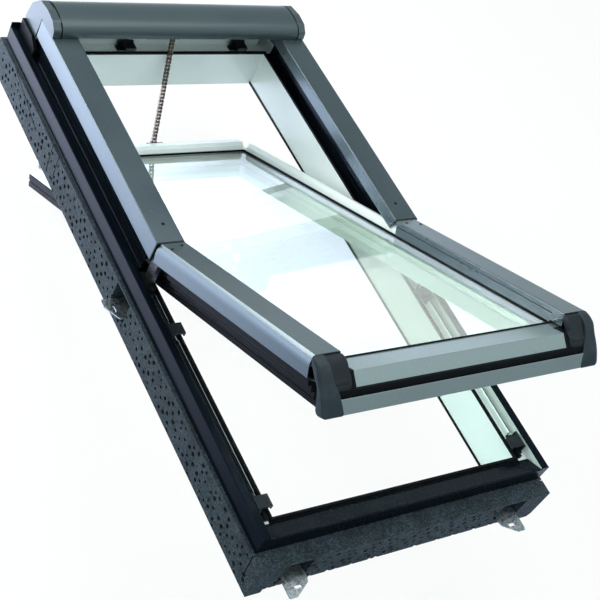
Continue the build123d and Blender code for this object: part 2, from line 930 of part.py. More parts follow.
def opening_chain():
    """Roller chain: narrow and wide links in turn, with pins through them."""
    hook_y, hook_z, turn, length = chain_place()
    count = int(length / chain_pitch)
    place = Pos(chain_x, hook_y, hook_z) * Rot(X=turn + 180)
    bore = Rot(Y=90) * Cylinder(chain_pin_radius, link_height * 2)
    narrow = chain_inner_width / 2 + link_gauge / 2
    wide = narrow + link_gauge + 0.1
    solids = []
    for number in range(count):
        gap = wide if number % 2 else narrow
        for side in (-1, 1):
            plate = Pos(side * gap, (number + 0.5) * chain_pitch, 0) * link_plate()
            solids.append(place * (plate if number else plate - bore))
    pin_length = 2 * (wide + link_gauge)
    for number in range(1, count + 1):
        solids.append(place * Pos(0, number * chain_pitch, 0) * chain_pin(pin_length))
    chain = solids[0]
    for solid in solids[1:]:
        chain = chain + solid
    return chain


def chain_drive():
    """Motor housing on the top member, with the slot that the chain leaves by."""
    y0 = chain_mouth_y + 2.0
    z0 = head_rim_level + fit_gap
    body = block(
        chain_x - drive_length + 24.0, chain_x + 24.0, y0, y0 + drive_depth - 4.0,
        z0, z0 + drive_height,
    )
    body = fillet(body.edges().filter_by(Axis.X), 4.0)
    slot = block(chain_x - 7, chain_x + 7, y0 - 1, y0 + 16, z0 - 1, z0 + 32)
    return body - slot


def chain_hook():
    """Bracket on the end of the sash that takes the chain's last pin."""
    y0, y1 = sash_head_end, sash_head_end + hook_gauge
    plate = block(chain_x - 24, chain_x + 24, y0, y1, chain_hook_level - 26, chain_hook_level + 1)
    ear_x = chain_inner_width / 2 + 3 * link_gauge + 0.6
    for side in (-1, 1):
        ear = block(
            chain_x + side * ear_x - 1.2, chain_x + side * ear_x + 1.2,
            y1, chain_hook_y + 4, chain_hook_level - 6, chain_hook_level + 4,
        )
        plate += ear
    pin = Pos(chain_x, chain_hook_y, chain_hook_level) * Rot(Y=90)
    return plate + pin * Cylinder(chain_pin_radius - pin_clearance, 2 * ear_x + 4)


# Brackets, strikers and screws

def bracket(slot_at):
    """Angle bracket: a slotted plate that lies on the roof and a leg against the frame wall.
    It is drawn for an edge that faces -Y, with the wall at y = 0 and the slot slot_at from it."""
    half = bracket_length / 2
    tip = -slot_at - bracket_tip
    shoulder = -slot_at + slot_radius
    plate = extrude(outline(
        (-half, 0), (half, 0), (half, tip), (half - bracket_tip, tip),
        (-half + slot_radius, shoulder), (-half, shoulder + slot_length / 2),
    ), amount=bracket_gauge)
    plate = fillet(plate.edges().filter_by(Axis.Z).sort_by(Axis.Y)[:2], 4.0)
    hole = Cylinder(nail_hole_radius, bracket_gauge * 3)
    plate -= Pos(nail_hole_offset, -slot_at + nail_hole_offset, 0) * hole
    return plate + block(-half, half, -bracket_gauge, 0, 0, bracket_leg)


def cut_slot(shape, x, y, along_x=True):
    turn = 0 if along_x else 90
    tool = extrude(SlotOverall(slot_length, slot_radius * 2), amount=60)
    return shape - Pos(x, y, -30) * Rot(Z=turn) * tool


def sill_bracket():
    wall = opening_low - inner_wall
    shape = Pos(bracket_x, wall, 0) * bracket(slot_y + wall)
    return cut_slot(shape, bracket_x, -slot_y)


def head_bracket():
    wall = opening_high + inner_wall
    shape = Pos(bracket_x, wall, 0) * mirror(bracket(slot_y - wall), about=Plane.XZ)
    return cut_slot(shape, bracket_x, slot_y)


def side_bracket():
    slot_at = insulation_side + side_slot_out
    shape = Pos(wall_outer_x, side_bracket_y, 0) * Rot(Z=90) * bracket(slot_at)
    return cut_slot(shape, wall_outer_x + slot_at, side_bracket_y, False)


def wall_screw():
    """Six-sided screw head on a bracket leg that faces -Y."""
    head = extrude(RegularPolygon(screw_head_radius, 6), amount=screw_head_height)
    return Pos(0, -bracket_gauge, 0) * Rot(X=90) * head


def bracket_screws():
    """Two screw heads on the leg of each bracket."""
    solids = []
    height = bracket_leg * 0.62
    for side in (-1, 1):
        for off in (-16.0, 16.0):
            x = side * bracket_x + off
            solids.append(Pos(x, opening_low - inner_wall, height) * wall_screw())
            solids.append(Pos(x, opening_high + inner_wall, height) * Rot(Z=180) * wall_screw())
            turn = 90 if side > 0 else -90
            place = Pos(side * wall_outer_x, side_bracket_y + off, height) * Rot(Z=turn)
            solids.append(place * wall_screw())
    group = solids[0]
    for solid in solids[1:]:
        group = group + solid
    return group


def striker():
    """Catch on the rebate, along Y: a base, an upright wall and a tongue towards the opening."""
    half = striker_length / 2
    top = striker_height
    body = block(0, striker_width, -half, half, 0, striker_gauge)
    body += block(striker_width - 5.0, striker_width, -half + 4, half - 4, 0, top)
    body += block(-striker_tongue, striker_width, -half + 8, half - 12, top - 4, top)
    return body + block(
        -striker_tongue, -striker_tongue + striker_gauge, -half + 8, half - 12, top - 10, top,
    )


def strikers():
    """Catches: two on each side member and two on the top member."""
    solids = []
    for y in (striker_low_y, striker_high_y):
        one = Pos(opening_x + striker_out, y, rebate_level) * striker()
        solids += [one, mirrored(one)]
    for x in (striker_head_left_x, striker_head_right_x):
        solids.append(Pos(x, opening_high + striker_out, rebate_level) * Rot(Z=90) * striker())
    group = solids[0]
    for solid in solids[1:]:
        group = group + solid
    return group


def cover_screw(x, y):
    return Pos(x, y, cover_level + 0.4) * Cylinder(2.6, 0.8)


def frame_cover_screws():
    x = cover_outer_x - cover_width * 0.55
    return cover_screw(x, cover_end + 48.0) + cover_screw(-x, cover_end + 48.0)


def sash_cover_screws():
    x = cover_outer_x - cover_width * 0.72
    y = lower_cover_start - 16.0
    group = None
    for side in (-1, 1):
        for dx, dy in ((0, 0), (30.0, -14.0)):
            one = cover_screw(side * (x + dx), y + dy)
            group = one if group is None else group + one
    return group


nodes = {}


def both_sides(name, shape, move=None):
    left = mirrored(shape)
    nodes[f"{name}_left"] = move(left) if move else left
    nodes[f"{name}_right"] = move(shape) if move else shape


both_sides("frame_stile", frame_stile())
nodes["frame_head"] = frame_head()
nodes["frame_sill"] = frame_sill()
both_sides("stile_cladding", stile_cladding())
nodes["head_cladding"] = head_cladding()
nodes["sill_cladding"] = sill_cladding()
both_sides("insulation_stile", insulation_stile())
nodes["insulation_head"] = insulation_end(opening_high + inner_wall, insulation_high)
nodes["insulation_sill"] = insulation_end(opening_low - inner_wall, insulation_low)
nodes["frame_seal"] = frame_seal()
nodes["lining_seal"] = lining_seal()
both_sides("cover_rail", cover_rail())
nodes["rebate_strips"] = rebate_strips()
both_sides("upper_cover", upper_cover())
both_sides("cover_plug", cover_plug())
nodes["hood_sheet"] = hood_sheet()
both_sides("hood_cap", hood_cap())
both_sides("sill_bracket", sill_bracket())
both_sides("head_bracket", head_bracket())
both_sides("side_bracket", side_bracket())
nodes["bracket_screws"] = bracket_screws()
nodes["strikers"] = strikers()
both_sides("pivot_bearing", pivot_bearing())
nodes["chain_drive"] = chain_drive()
nodes["opening_chain"] = opening_chain()
nodes["frame_cover_screws"] = frame_cover_screws()

both_sides("sash_stile", sash_stile(), swung)
nodes["sash_head"] = swung(sash_head())
nodes["sash_rail"] = swung(sash_rail())
both_sides("side_profile", side_profile(), swung)
nodes["outer_pane"] = swung(pane(glass_level))
nodes["inner_pane"] = swung(pane(ledge_level + pane_gauge))
nodes["glass_spacer"] = swung(glass_spacer())
nodes["glazing_gasket"] = swung(glazing_gasket())
both_sides("lower_cover", lower_cover(), swung)
both_sides("glazing_bead", glazing_bead(), swung)
nodes["rail_cladding"] = swung(rail_cladding())
nodes["rail_groove_seal"] = swung(rail_groove_seal())
nodes["lower_strip"] = swung(lower_strip())
both_sides("end_cap", end_cap(), swung)
both_sides("pivot_arm", pivot_arm(), swung)
nodes["chain_hook"] = swung(chain_hook())
nodes["sash_cover_screws"] = swung(sash_cover_screws())

os.makedirs("parts", exist_ok=True)
for name, shape in nodes.items():
    export_step(shape, f"parts/{name}.step")
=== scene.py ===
# %% [markdown]
# # A roof window that stands open
#
# This lesson dresses the solids of a centre-pivot roof window. The solids come from a CAD
# model with its own joints, so nothing here moves them. We add the camera, the studio, the
# finishes and the small pieces that a solid model leaves plain.
#
# The window's frame of axes has X across the window, Y up the slope of the roof and Z out to
# the sky. Lengths are in metres.

# %% Load the window
import json
from math import cos, pi, radians, sin

import bmesh
import bpy
from mathutils import Matrix, Vector


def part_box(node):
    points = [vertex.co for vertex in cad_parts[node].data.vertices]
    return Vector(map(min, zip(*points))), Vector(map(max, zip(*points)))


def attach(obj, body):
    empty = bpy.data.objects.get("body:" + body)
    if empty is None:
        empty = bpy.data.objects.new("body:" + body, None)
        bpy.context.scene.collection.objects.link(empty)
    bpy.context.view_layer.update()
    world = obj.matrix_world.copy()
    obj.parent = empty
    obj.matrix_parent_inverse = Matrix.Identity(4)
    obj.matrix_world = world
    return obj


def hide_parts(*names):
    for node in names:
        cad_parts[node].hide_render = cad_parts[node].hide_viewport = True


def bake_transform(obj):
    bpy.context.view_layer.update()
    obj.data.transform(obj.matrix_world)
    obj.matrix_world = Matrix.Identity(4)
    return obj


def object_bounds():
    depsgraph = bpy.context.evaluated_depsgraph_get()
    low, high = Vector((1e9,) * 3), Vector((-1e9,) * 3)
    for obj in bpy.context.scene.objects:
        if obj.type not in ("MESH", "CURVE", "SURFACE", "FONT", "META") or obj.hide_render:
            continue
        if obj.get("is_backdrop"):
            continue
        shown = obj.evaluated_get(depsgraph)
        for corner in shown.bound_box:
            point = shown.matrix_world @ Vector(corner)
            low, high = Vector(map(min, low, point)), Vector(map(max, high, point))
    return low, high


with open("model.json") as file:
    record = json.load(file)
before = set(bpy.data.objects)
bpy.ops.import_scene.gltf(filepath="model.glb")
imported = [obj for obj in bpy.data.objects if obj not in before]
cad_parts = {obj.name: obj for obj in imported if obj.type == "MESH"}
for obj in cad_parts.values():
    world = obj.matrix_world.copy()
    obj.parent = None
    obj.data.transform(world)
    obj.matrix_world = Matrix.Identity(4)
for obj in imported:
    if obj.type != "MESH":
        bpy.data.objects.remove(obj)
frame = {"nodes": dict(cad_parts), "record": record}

cad_box = [list(corner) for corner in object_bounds()]
nodes = frame["nodes"]


def in_short(box):
    """A box's corners with three decimals, for printing."""
    return [[round(v, 3) for v in corner] for corner in box]


print("solids:", len(nodes), "box:", in_short(cad_box))

# %% [markdown]
# ## The camera
#
# The photograph was taken from above the lower left corner, with the camera rolled, so that
# the long sides run down to the right. A camera is easiest to read as a place, a heading, a
# height angle and a roll. The lens is long, which keeps the far end nearly as wide as the
# near one.

# %% Camera
camera_place = Vector((-1.6419, -1.5090, 2.0151))
camera_azimuth = radians(-50.80)
camera_elevation = radians(42.28)
camera_roll = radians(31.81)
camera_lens = 78.68
camera_reach = 100

camera_data = bpy.data.cameras.new("camera")
camera_data.lens = camera_lens
camera_data.clip_end = camera_reach
camera = bpy.data.objects.new("camera", camera_data)
bpy.context.scene.collection.objects.link(camera)
bpy.context.scene.camera = camera


def camera_turn(azimuth, elevation, roll):
    """The camera's own axes as the columns of a matrix."""
    level_right = Vector((cos(azimuth), sin(azimuth), 0))
    back = Vector((sin(azimuth) * cos(elevation), -cos(azimuth) * cos(elevation), sin(elevation)))
    level_up = back.cross(level_right)
    right = level_right * cos(roll) + level_up * sin(roll)
    up = back.cross(right)
    return Matrix((right, up, back)).transposed()


turn = camera_turn(camera_azimuth, camera_elevation, camera_roll)
camera.matrix_world = Matrix.Translation(camera_place) @ turn.to_4x4()
print("camera looks along", [round(v, 3) for v in -turn.col[2]])

# %% [markdown]
# ## Building materials from nodes
#
# Every finish below is a small tree of nodes. Three helpers keep the trees short to read: one
# starts a material, one fills the sockets of a node, and one adds a node and fills it.

# %% Helpers for nodes


def new_finish(name):
    """A new material with its tree and its main shader."""
    made = bpy.data.materials.new(name)
    made.use_nodes = True
    return made, made.node_tree, made.node_tree.nodes["Principled BSDF"]


def feed(tree, node, inputs):
    """Fills a node's sockets, by a link from another node or with a plain value."""
    for key, value in inputs.items():
        socket = node.inputs[key]
        if isinstance(value, bpy.types.NodeSocket):
            tree.links.new(value, socket)
        else:
            socket.default_value = value


def add(tree, kind, inputs=None, **settings):
    """Adds a shader node. settings are its own properties, inputs are its sockets."""
    node = tree.nodes.new("ShaderNode" + kind)
    for key, value in settings.items():
        setattr(node, key, value)
    feed(tree, node, inputs or {})
    return node


# %% [markdown]
# ## Tones, noise and relief
#
# A lacquer or a plastic is never one flat colour. Smooth noise stands for its unevenness, and
# is stretched to the range that a colour, a roughness or a bump needs. The noise sits in the
# piece's own place in metres, so that a grain has its real size on every piece.

# %% Helpers for finishes


def tone(red, green, blue):
    """A colour given as 0 to 255 on screen, in the linear values that a shader takes."""
    def linear(value):
        share = value / 255
        return share / 12.92 if share <= 0.04045 else ((share + 0.055) / 1.055) ** 2.4
    return (linear(red), linear(green), linear(blue), 1)


def surface_place(tree, scale=(1, 1, 1)):
    """Places on the piece, in metres, stretched for a grain."""
    coords = add(tree, "TexCoord").outputs["Object"]
    return add(tree, "Mapping", {"Vector": coords, "Scale": scale}).outputs["Vector"]


def noise(tree, scale, place=None, detail=3.0, rough=0.5):
    """Smooth random values, about 0 to 1; scale is in lumps per metre."""
    place = place or surface_place(tree)
    inputs = {"Vector": place, "Scale": scale, "Detail": detail, "Roughness": rough}
    return add(tree, "TexNoise", inputs).outputs["Fac"]


def spread(tree, value, low, high, at_low=0.0, at_high=1.0):
    """Stretches a value from one range to another and clamps it there."""
    inputs = {"Value": value, "From Min": low, "From Max": high, "To Min": at_low, "To Max": at_high}
    return add(tree, "MapRange", inputs).outputs["Result"]


def blend_tones(tree, share, first, second):
    """A colour between two tones, the first at share 0 and the second at 1."""
    made = add(tree, "Mix", data_type="RGBA")
    feed(tree, made, {"Factor": share, 6: first, 7: second})
    return made.outputs[2]


def bump(tree, shader, height, depth, strength=1.0):
    """Raises the surface by height times depth metres, in the shading alone."""
    raised = add(tree, "Bump", {"Height": height, "Distance": depth, "Strength": strength})
    feed(tree, shader, {"Normal": raised.outputs["Normal"]})


print("a screen value of 128 is", round(tone(128, 128, 128)[0], 3), "to a shader")

# %% [markdown]
# ## Lacquered covers
#
# The folded covers are aluminium with a baked metallic lacquer. Up close it has tiny flakes,
# a faint unevenness like the skin of an orange, and dull patches where hands and rain have
# been. The flakes go into the colour, the skin into the bump, and the patches into the
# roughness and a little into the colour. The rail's cladding has the same lacquer painted
# much lighter, a painted reflection on its front, and the hood has a tone of its own, so one
# helper makes all three.

# %% Metallic lacquer


def metallic_lacquer(name, base, flake, roughness, metallic):
    """Lacquer with fine flakes over folded sheet metal."""
    made, tree, shader = new_finish(name)
    flakes = spread(tree, noise(tree, 1600, detail=1), 0.35, 0.7)
    patches = spread(tree, noise(tree, 5, detail=4), 0.3, 0.7)
    colour = blend_tones(tree, flakes, base, flake)
    feed(tree, shader, {
        "Base Color": blend_tones(tree, spread(tree, patches, 0, 1, 0.0, 0.22), colour, flake),
        "Roughness": spread(tree, patches, 0, 1, roughness - 0.05, roughness + 0.07),
        "Metallic": metallic,
        "Coat Weight": 0.25,
        "Coat Roughness": 0.2,
    })
    bump(tree, shader, noise(tree, 420, detail=2), 0.00003)
    return made


cover_finish = metallic_lacquer("cover_lacquer", tone(55, 69, 74), tone(81, 95, 100), 0.28, 0.6)
# The rail's lacquer, for its cladding and its lower strip, is painted about twice as light as the
# covers': a painted reflection.
painted_sheen_rail_finish = metallic_lacquer("rail_lacquer_painted_sheen", tone(114, 128, 130), tone(142, 156, 156), 0.3, 0.6)
hood_finish = metallic_lacquer("hood_lacquer", tone(45, 59, 63), tone(65, 79, 83), 0.44, 0.4)
print("made", cover_finish.name, painted_sheen_rail_finish.name, hood_finish.name)

# %% [markdown]
# ## Dark frame cladding
#
# The cladding of the frame itself is darker and glossier. It has no flakes to speak of, so
# its look comes from long soft reflections. Fine streaks run down the slope, as rain leaves
# them: noise that is stretched along Y, so that they are long without being painted.

# %% Dark lacquer


def dark_lacquer(name, base, streak, roughness):
    """Near-black gloss lacquer with faint rain streaks down the slope."""
    made, tree, shader = new_finish(name)
    down_slope = surface_place(tree, scale=(60, 3, 60))
    streaks = spread(tree, noise(tree, 3.0, place=down_slope, detail=5), 0.42, 0.75)
    feed(tree, shader, {
        "Base Color": blend_tones(tree, streaks, base, streak),
        "Roughness": spread(tree, streaks, 0, 1, roughness, roughness + 0.12),
        "Metallic": 0.35,
        "Specular IOR Level": 0.15,
        "Specular Tint": (0.14, 0.23, 0.32, 1),
        "Coat Weight": 0.02,
        "Coat Roughness": 0.12,
    })
    bump(tree, shader, noise(tree, 380, detail=2), 0.00003)
    return made


cladding_finish = dark_lacquer("cladding_lacquer", tone(11, 17, 24), tone(19, 27, 36), 0.2)
print("made", cladding_finish.name)

# %% [markdown]
# ## White plastic
#
# The inner frame and the sash are extruded plastic, white with a faint green cast. Extrusion
# leaves fine lines along the length. Stretched noise draws them without a picture that would
# repeat. The finish is smooth, so they only show in the roughness and in a very low bump.

# %% White plastic


def extruded_plastic(name, base, shade, roughness):
    """Extruded profile with draw lines along X and along Y."""
    made, tree, shader = new_finish(name)
    lines = noise(tree, 4.0, place=surface_place(tree, scale=(40, 40, 260)), detail=3)
    clouds = spread(tree, noise(tree, 3, detail=3), 0.35, 0.75)
    feed(tree, shader, {
        "Base Color": blend_tones(tree, clouds, base, shade),
        "Roughness": spread(tree, lines, 0.3, 0.7, roughness - 0.05, roughness + 0.08),
        "IOR": 1.52,
    })
    bump(tree, shader, lines, 0.00004)
    return made


plastic_finish = extruded_plastic("white_plastic", tone(232, 241, 238), tone(220, 231, 227), 0.3)
print("made", plastic_finish.name)

# %% [markdown]
# ## Expanded foam
#
# The grey blocks are moulded from foam beads a few millimetres wide. Each bead has its own
# tone and stands a little proud of the joints between beads. A Voronoi texture gives both:
# its cells are the beads, and the distance to a cell's edge is their relief.

# %% Foam
beads_per_metre = 300.0


def bead_foam(name, base, light, dark):
    """Moulded beads with darker joints and darker patches."""
    made, tree, shader = new_finish(name)
    inputs = {"Vector": surface_place(tree), "Scale": beads_per_metre}
    cells = add(tree, "TexVoronoi", inputs)
    edges = add(tree, "TexVoronoi", inputs, feature="DISTANCE_TO_EDGE").outputs["Distance"]
    tint = add(tree, "SeparateColor", {"Color": cells.outputs["Color"]}).outputs[0]
    colour = blend_tones(tree, spread(tree, tint, 0.1, 0.95), base, light)
    colour = blend_tones(tree, spread(tree, edges, 0.0, 0.12), dark, colour)
    patches = spread(tree, noise(tree, 22, detail=4), 0.4, 0.7, 0.0, 0.45)
    feed(tree, shader, {
        "Base Color": blend_tones(tree, patches, colour, dark),
        "Roughness": 0.82,
        "Specular IOR Level": 0.3,
    })
    bump(tree, shader, spread(tree, edges, 0.0, 0.25), 0.0006, 0.8)
    return made


foam_finish = bead_foam("bead_foam", tone(38, 50, 57), tone(72, 86, 95), tone(11, 15, 19))
print("made", foam_finish.name)

# %% [markdown]
# ## Rubber and moulded black
#
# Seals are matt black rubber that holds a little dust. The moulded caps are a harder black
# plastic with a fine spark-eroded grain and a few scuffs. One black would serve both, but the
# plastic reflects more and its grain is finer, so each has its own tree. The outer lobes of
# the end caps get a lighter copy of the black plastic, a painted highlight that sets them off
# from the inner lobes.

# %% Rubber and black plastic


def seal_rubber(name):
    """Matt rubber with faint dust."""
    made, tree, shader = new_finish(name)
    dust = spread(tree, noise(tree, 60, detail=6, rough=0.7), 0.5, 0.8)
    feed(tree, shader, {
        "Base Color": blend_tones(tree, dust, tone(9, 11, 14), tone(22, 25, 29)),
        "Roughness": spread(tree, dust, 0, 1, 0.5, 0.75),
        "Specular IOR Level": 0.08,
    })
    bump(tree, shader, noise(tree, 900, detail=2), 0.00006)
    return made


def grained_plastic(name, base, light, roughness):
    """Moulded plastic with a fine grain."""
    made, tree, shader = new_finish(name)
    scuffs = spread(tree, noise(tree, 30, detail=6, rough=0.65), 0.5, 0.8)
    feed(tree, shader, {
        "Base Color": blend_tones(tree, scuffs, base, light),
        "Roughness": spread(tree, scuffs, 0, 1, roughness, roughness + 0.15),
        "Specular IOR Level": 0.2,
    })
    bump(tree, shader, noise(tree, 1400, detail=2), 0.00008)
    return made


rubber_finish = seal_rubber("seal_rubber")
black_finish = grained_plastic("black_plastic", tone(22, 29, 34), tone(34, 42, 48), 0.42)
# A lighter copy of the black plastic for the outer lobes of the end caps: a painted highlight.
highlit_cap_finish = grained_plastic("cap_plastic_painted_highlight", tone(36, 46, 52), tone(50, 61, 68), 0.38)
print("made", rubber_finish.name, black_finish.name, highlit_cap_finish.name)

# %% [markdown]
# ## Bare metals
#
# Brackets are zinc coated: the coat freezes in flat crystals, each with its own brightness.
# The chain and the bearings are oiled steel, with grime in patches. One helper serves all of
# them, with crystals of a different size.

# %% Bare metals
grime_tone = tone(34, 28, 24)


def bare_metal(name, base, light, crystals_per_metre, roughness, grime=0.0):
    """Metal with flat crystals or grain, and grime in broad patches."""
    made, tree, shader = new_finish(name)
    inputs = {"Vector": surface_place(tree), "Scale": crystals_per_metre}
    cells = add(tree, "TexVoronoi", inputs)
    tint = add(tree, "SeparateColor", {"Color": cells.outputs["Color"]}).outputs[0]
    colour = blend_tones(tree, tint, base, light)
    if grime:
        patches = spread(tree, noise(tree, 90, detail=5), 0.45, 0.7, 0.0, grime)
        colour = blend_tones(tree, patches, colour, grime_tone)
    feed(tree, shader, {
        "Base Color": colour,
        "Roughness": spread(tree, tint, 0, 1, roughness - 0.06, roughness + 0.1),
        "Metallic": 1.0,
    })
    bump(tree, shader, noise(tree, 700, detail=3), 0.00004)
    return made


zinc_finish = bare_metal("zinc_coat", tone(130, 138, 142), tone(190, 197, 199), 260, 0.34)
steel_finish = bare_metal("dark_steel", tone(84, 86, 86), tone(112, 114, 114), 700, 0.38, 0.4)
chain_finish = bare_metal("oiled_steel", tone(98, 86, 76), tone(134, 119, 106), 900, 0.3, 0.55)
screw_finish = bare_metal("screw_steel", tone(150, 154, 156), tone(182, 186, 188), 900, 0.3, 0.15)
spacer_finish = bare_metal("spacer_metal", tone(160, 163, 165), tone(184, 188, 190), 500, 0.35)
print("made", zinc_finish.name, steel_finish.name, chain_finish.name, screw_finish.name,
      spacer_finish.name)

# %% [markdown]
# ## Glass
#
# The panes are clear float glass, faintly green. A pane that lights pass through only as
# glass throws a black shadow, so for shadow rays alone it is taken as a pale film. What the
# camera and the reflections see stays real glass.

# %% Glass
film_tone = tone(238, 248, 244)


def show_mix(tree, share, first, second):
    """Ends a tree in a mix of two shaders, the first at share 0 and the second at 1."""
    mixed = add(tree, "MixShader", {"Fac": share, 1: first, 2: second})
    feed(tree, tree.nodes["Material Output"], {"Surface": mixed.outputs["Shader"]})


def float_glass(name):
    """Clear glass with a faint haze, which lets light through to what lies behind."""
    made, tree, shader = new_finish(name)
    veil = spread(tree, noise(tree, 2.2, detail=2), 0.42, 0.6)
    feed(tree, shader, {
        "Roughness": spread(tree, noise(tree, 6, detail=4), 0.4, 0.8, 0.0, 0.03),
        "Base Color": blend_tones(tree, veil, tone(243, 247, 241), tone(247, 250, 246)),
        "Transmission Weight": 1.0,
        "IOR": 1.5,
    })
    film = add(tree, "BsdfTransparent", {"Color": film_tone})
    in_shadow = add(tree, "LightPath").outputs["Is Shadow Ray"]
    show_mix(tree, in_shadow, shader.outputs["BSDF"], film.outputs["BSDF"])
    return made


glass_finish = float_glass("float_glass")
print("made", glass_finish.name)

# %% [markdown]
# ## Which solid gets which finish
#
# The record already says what each solid is made of, in its material slots. So the finishes
# are given slot by slot. A few solids share a slot with pieces of another tone, and those are
# named one by one.

# %% Finishes onto the solids
finish_of_slot = {
    "pvc": plastic_finish,
    "cladding": cladding_finish,
    "cover": cover_finish,
    "foam": foam_finish,
    "rubber": rubber_finish,
    "black_plastic": black_finish,
    "galvanised": zinc_finish,
    "bearing": steel_finish,
    "chain": chain_finish,
    "screw": screw_finish,
    "clear": glass_finish,
    "spacer": spacer_finish,
}
finish_of_solid = {
    "hood_cap_left": hood_finish,
    "hood_cap_right": hood_finish,
    "strikers": black_finish,
    # The rail's cladding and lower strip take the lighter lacquer with the painted reflection.
    "rail_cladding": painted_sheen_rail_finish,
    "lower_strip": painted_sheen_rail_finish,
    "side_profile_left": rubber_finish,
    "side_profile_right": rubber_finish,
    "frame_cover_screws": black_finish,
    "sash_cover_screws": black_finish,
}
for entry in frame["record"]["subparts"]:
    mesh = nodes[entry["node"]].data
    mesh.materials.clear()
    mesh.materials.append(finish_of_solid.get(entry["node"], finish_of_slot[entry["material_slot"]]))

# %% [markdown]
# ## Placing pieces on the frame and on the sash
#
# Pieces of the sash are easiest to draw with the window shut and then to swing open about
# the pivot, as the solids were. The joint in the record gives the pivot and the angle.

# %% Swing and pieces
hinge = frame["record"]["behaviour"]["joints"][0]
pivot = Vector(hinge["pos_m"])
open_degrees = hinge["range_deg"][0]
open_turn = Matrix.Rotation(radians(open_degrees), 4, "X")
swing = Matrix.Translation(pivot) @ open_turn @ Matrix.Translation(-pivot)


def piece(name, drawn, finish, body="frame", stands_for=()):
    """Turns a mesh, drawn with the window shut, into an object that rides on a body."""
    if body == "sash":
        drawn.transform(swing)
    mesh = bpy.data.meshes.new(name)
    bmesh.ops.recalc_face_normals(drawn, faces=drawn.faces)
    drawn.to_mesh(mesh)
    drawn.free()
    mesh.materials.append(finish)
    made = bpy.data.objects.new(name, mesh)
    bpy.context.scene.collection.objects.link(made)
    if body:
        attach(made, body)
    if stands_for:
        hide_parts(*stands_for)
    return made


print("sash swings by", open_degrees, "degrees about", [round(v, 3) for v in pivot])

# %% [markdown]
# ## Bodies from rings of points
#
# A chain plate, a pin or a bent sheet has the same outline all along. Each could be modelled
# by hand, but two or more rings of points with walls between them give a closed body with
# exact sizes, and a few helpers serve all the pieces below.

# %% Rings, plates and rods


def walls(drawn, rings):
    """Joins each closed ring of points to the next one."""
    count = len(rings[0])
    for first, second in zip(rings, rings[1:]):
        for number in range(count):
            after = (number + 1) % count
            drawn.faces.new((first[number], first[after], second[after], second[number]))


def run(drawn, rings):
    """A closed body: an end on the first and on the last ring, and the walls between."""
    drawn.faces.new(rings[0])
    drawn.faces.new(rings[-1][::-1])
    walls(drawn, rings)


def prism(drawn, outline, place, depth):
    """Adds a plate to a mesh: an outline in the plane of place's X and Y, depth thick along Z."""
    run(drawn, [[drawn.verts.new(place @ Vector((u, v, side * depth / 2))) for u, v in outline]
                for side in (-1, 1)])


def circle(radius, sides):
    """Places around a circle."""
    return [(radius * cos(2 * pi * k / sides), radius * sin(2 * pi * k / sides))
            for k in range(sides)]


def rod(drawn, place, radius, length, sides=12):
    """Adds a round rod along place's Z, with its middle at place."""
    prism(drawn, circle(radius, sides), place, length)


print("a rod has", len(circle(1, 12)), "sides unless told otherwise")

# %% [markdown]
# ## Pits in the foam
#
# The mould's steam vents leave rows of small pits in the outer faces of the foam blocks, in a
# slanting pattern. They are real hollows here: a mesh of short plugs is taken out of each
# block. Leaving the pits to a bump map would lose them along the block's lower edge, where
# the outline of the real one is notched. Sines move the pits off their grid, so that every
# run of the script gives the same ones.

# %% Where the pits lie
pit_radius = 0.0047
pit_variation = 0.25
pit_depth = 0.007
pit_sides = 7
pit_step = 0.0205
pit_rows = 5
pit_row_rise = 0.0175
pit_slant = 0.0088
pit_lowest = -0.030
pit_wobble = 0.0028
pit_left_out_above = 0.8
pit_start_margin = 0.01
pit_end_margin = 0.03


def uneven(number, row, number_turn, row_turn):
    """A value from -1 to 1 that looks random and is the same in every run."""
    return sin(number * number_turn + row * row_turn)


def pit_places(start, end):
    """Places of the pits along a face: along it and up it."""
    count = int((end - start) / pit_step)
    for row in range(pit_rows):
        for number in range(count):
            if uneven(number, row, 5.1, 2.7) > pit_left_out_above:
                continue
            sideways = pit_wobble * uneven(number, row, 2.3, 1.7)
            upward = pit_wobble * uneven(number, row, 3.9, 2.1)
            along = start + number * pit_step + row * pit_slant + sideways
            yield along, pit_lowest + row * pit_row_rise + upward


def pits_in_face(low, high, facing, sign):
    """Matrices, with Z out of the face, of the pits in a face that looks along axis facing."""
    lengthwise = 1 - facing
    face = (high if sign > 0 else low)[facing]
    for along, up in pit_places(low[lengthwise] + pit_start_margin,
                                high[lengthwise] - pit_end_margin):
        place = Vector((0, 0, up))
        place[facing] = face
        place[lengthwise] = along
        yield Matrix.Translation(place) @ Matrix.Rotation(pi / 2, 4, "YX"[facing])


print("pits in a metre of face:", len(list(pit_places(0, 1))))

# %% [markdown]
# ## Cutting the pits
#
# A Boolean modifier takes the plugs out of a copy of the block. The result is kept as a mesh
# of its own, and stands for the plain block, which stays as it was.

# %% Pitted foam


def placed(name, mesh, matrix=Matrix()):
    """An object of a mesh, in the scene."""
    made = bpy.data.objects.new(name, mesh)
    made.matrix_world = matrix
    bpy.context.scene.collection.objects.link(made)
    return made


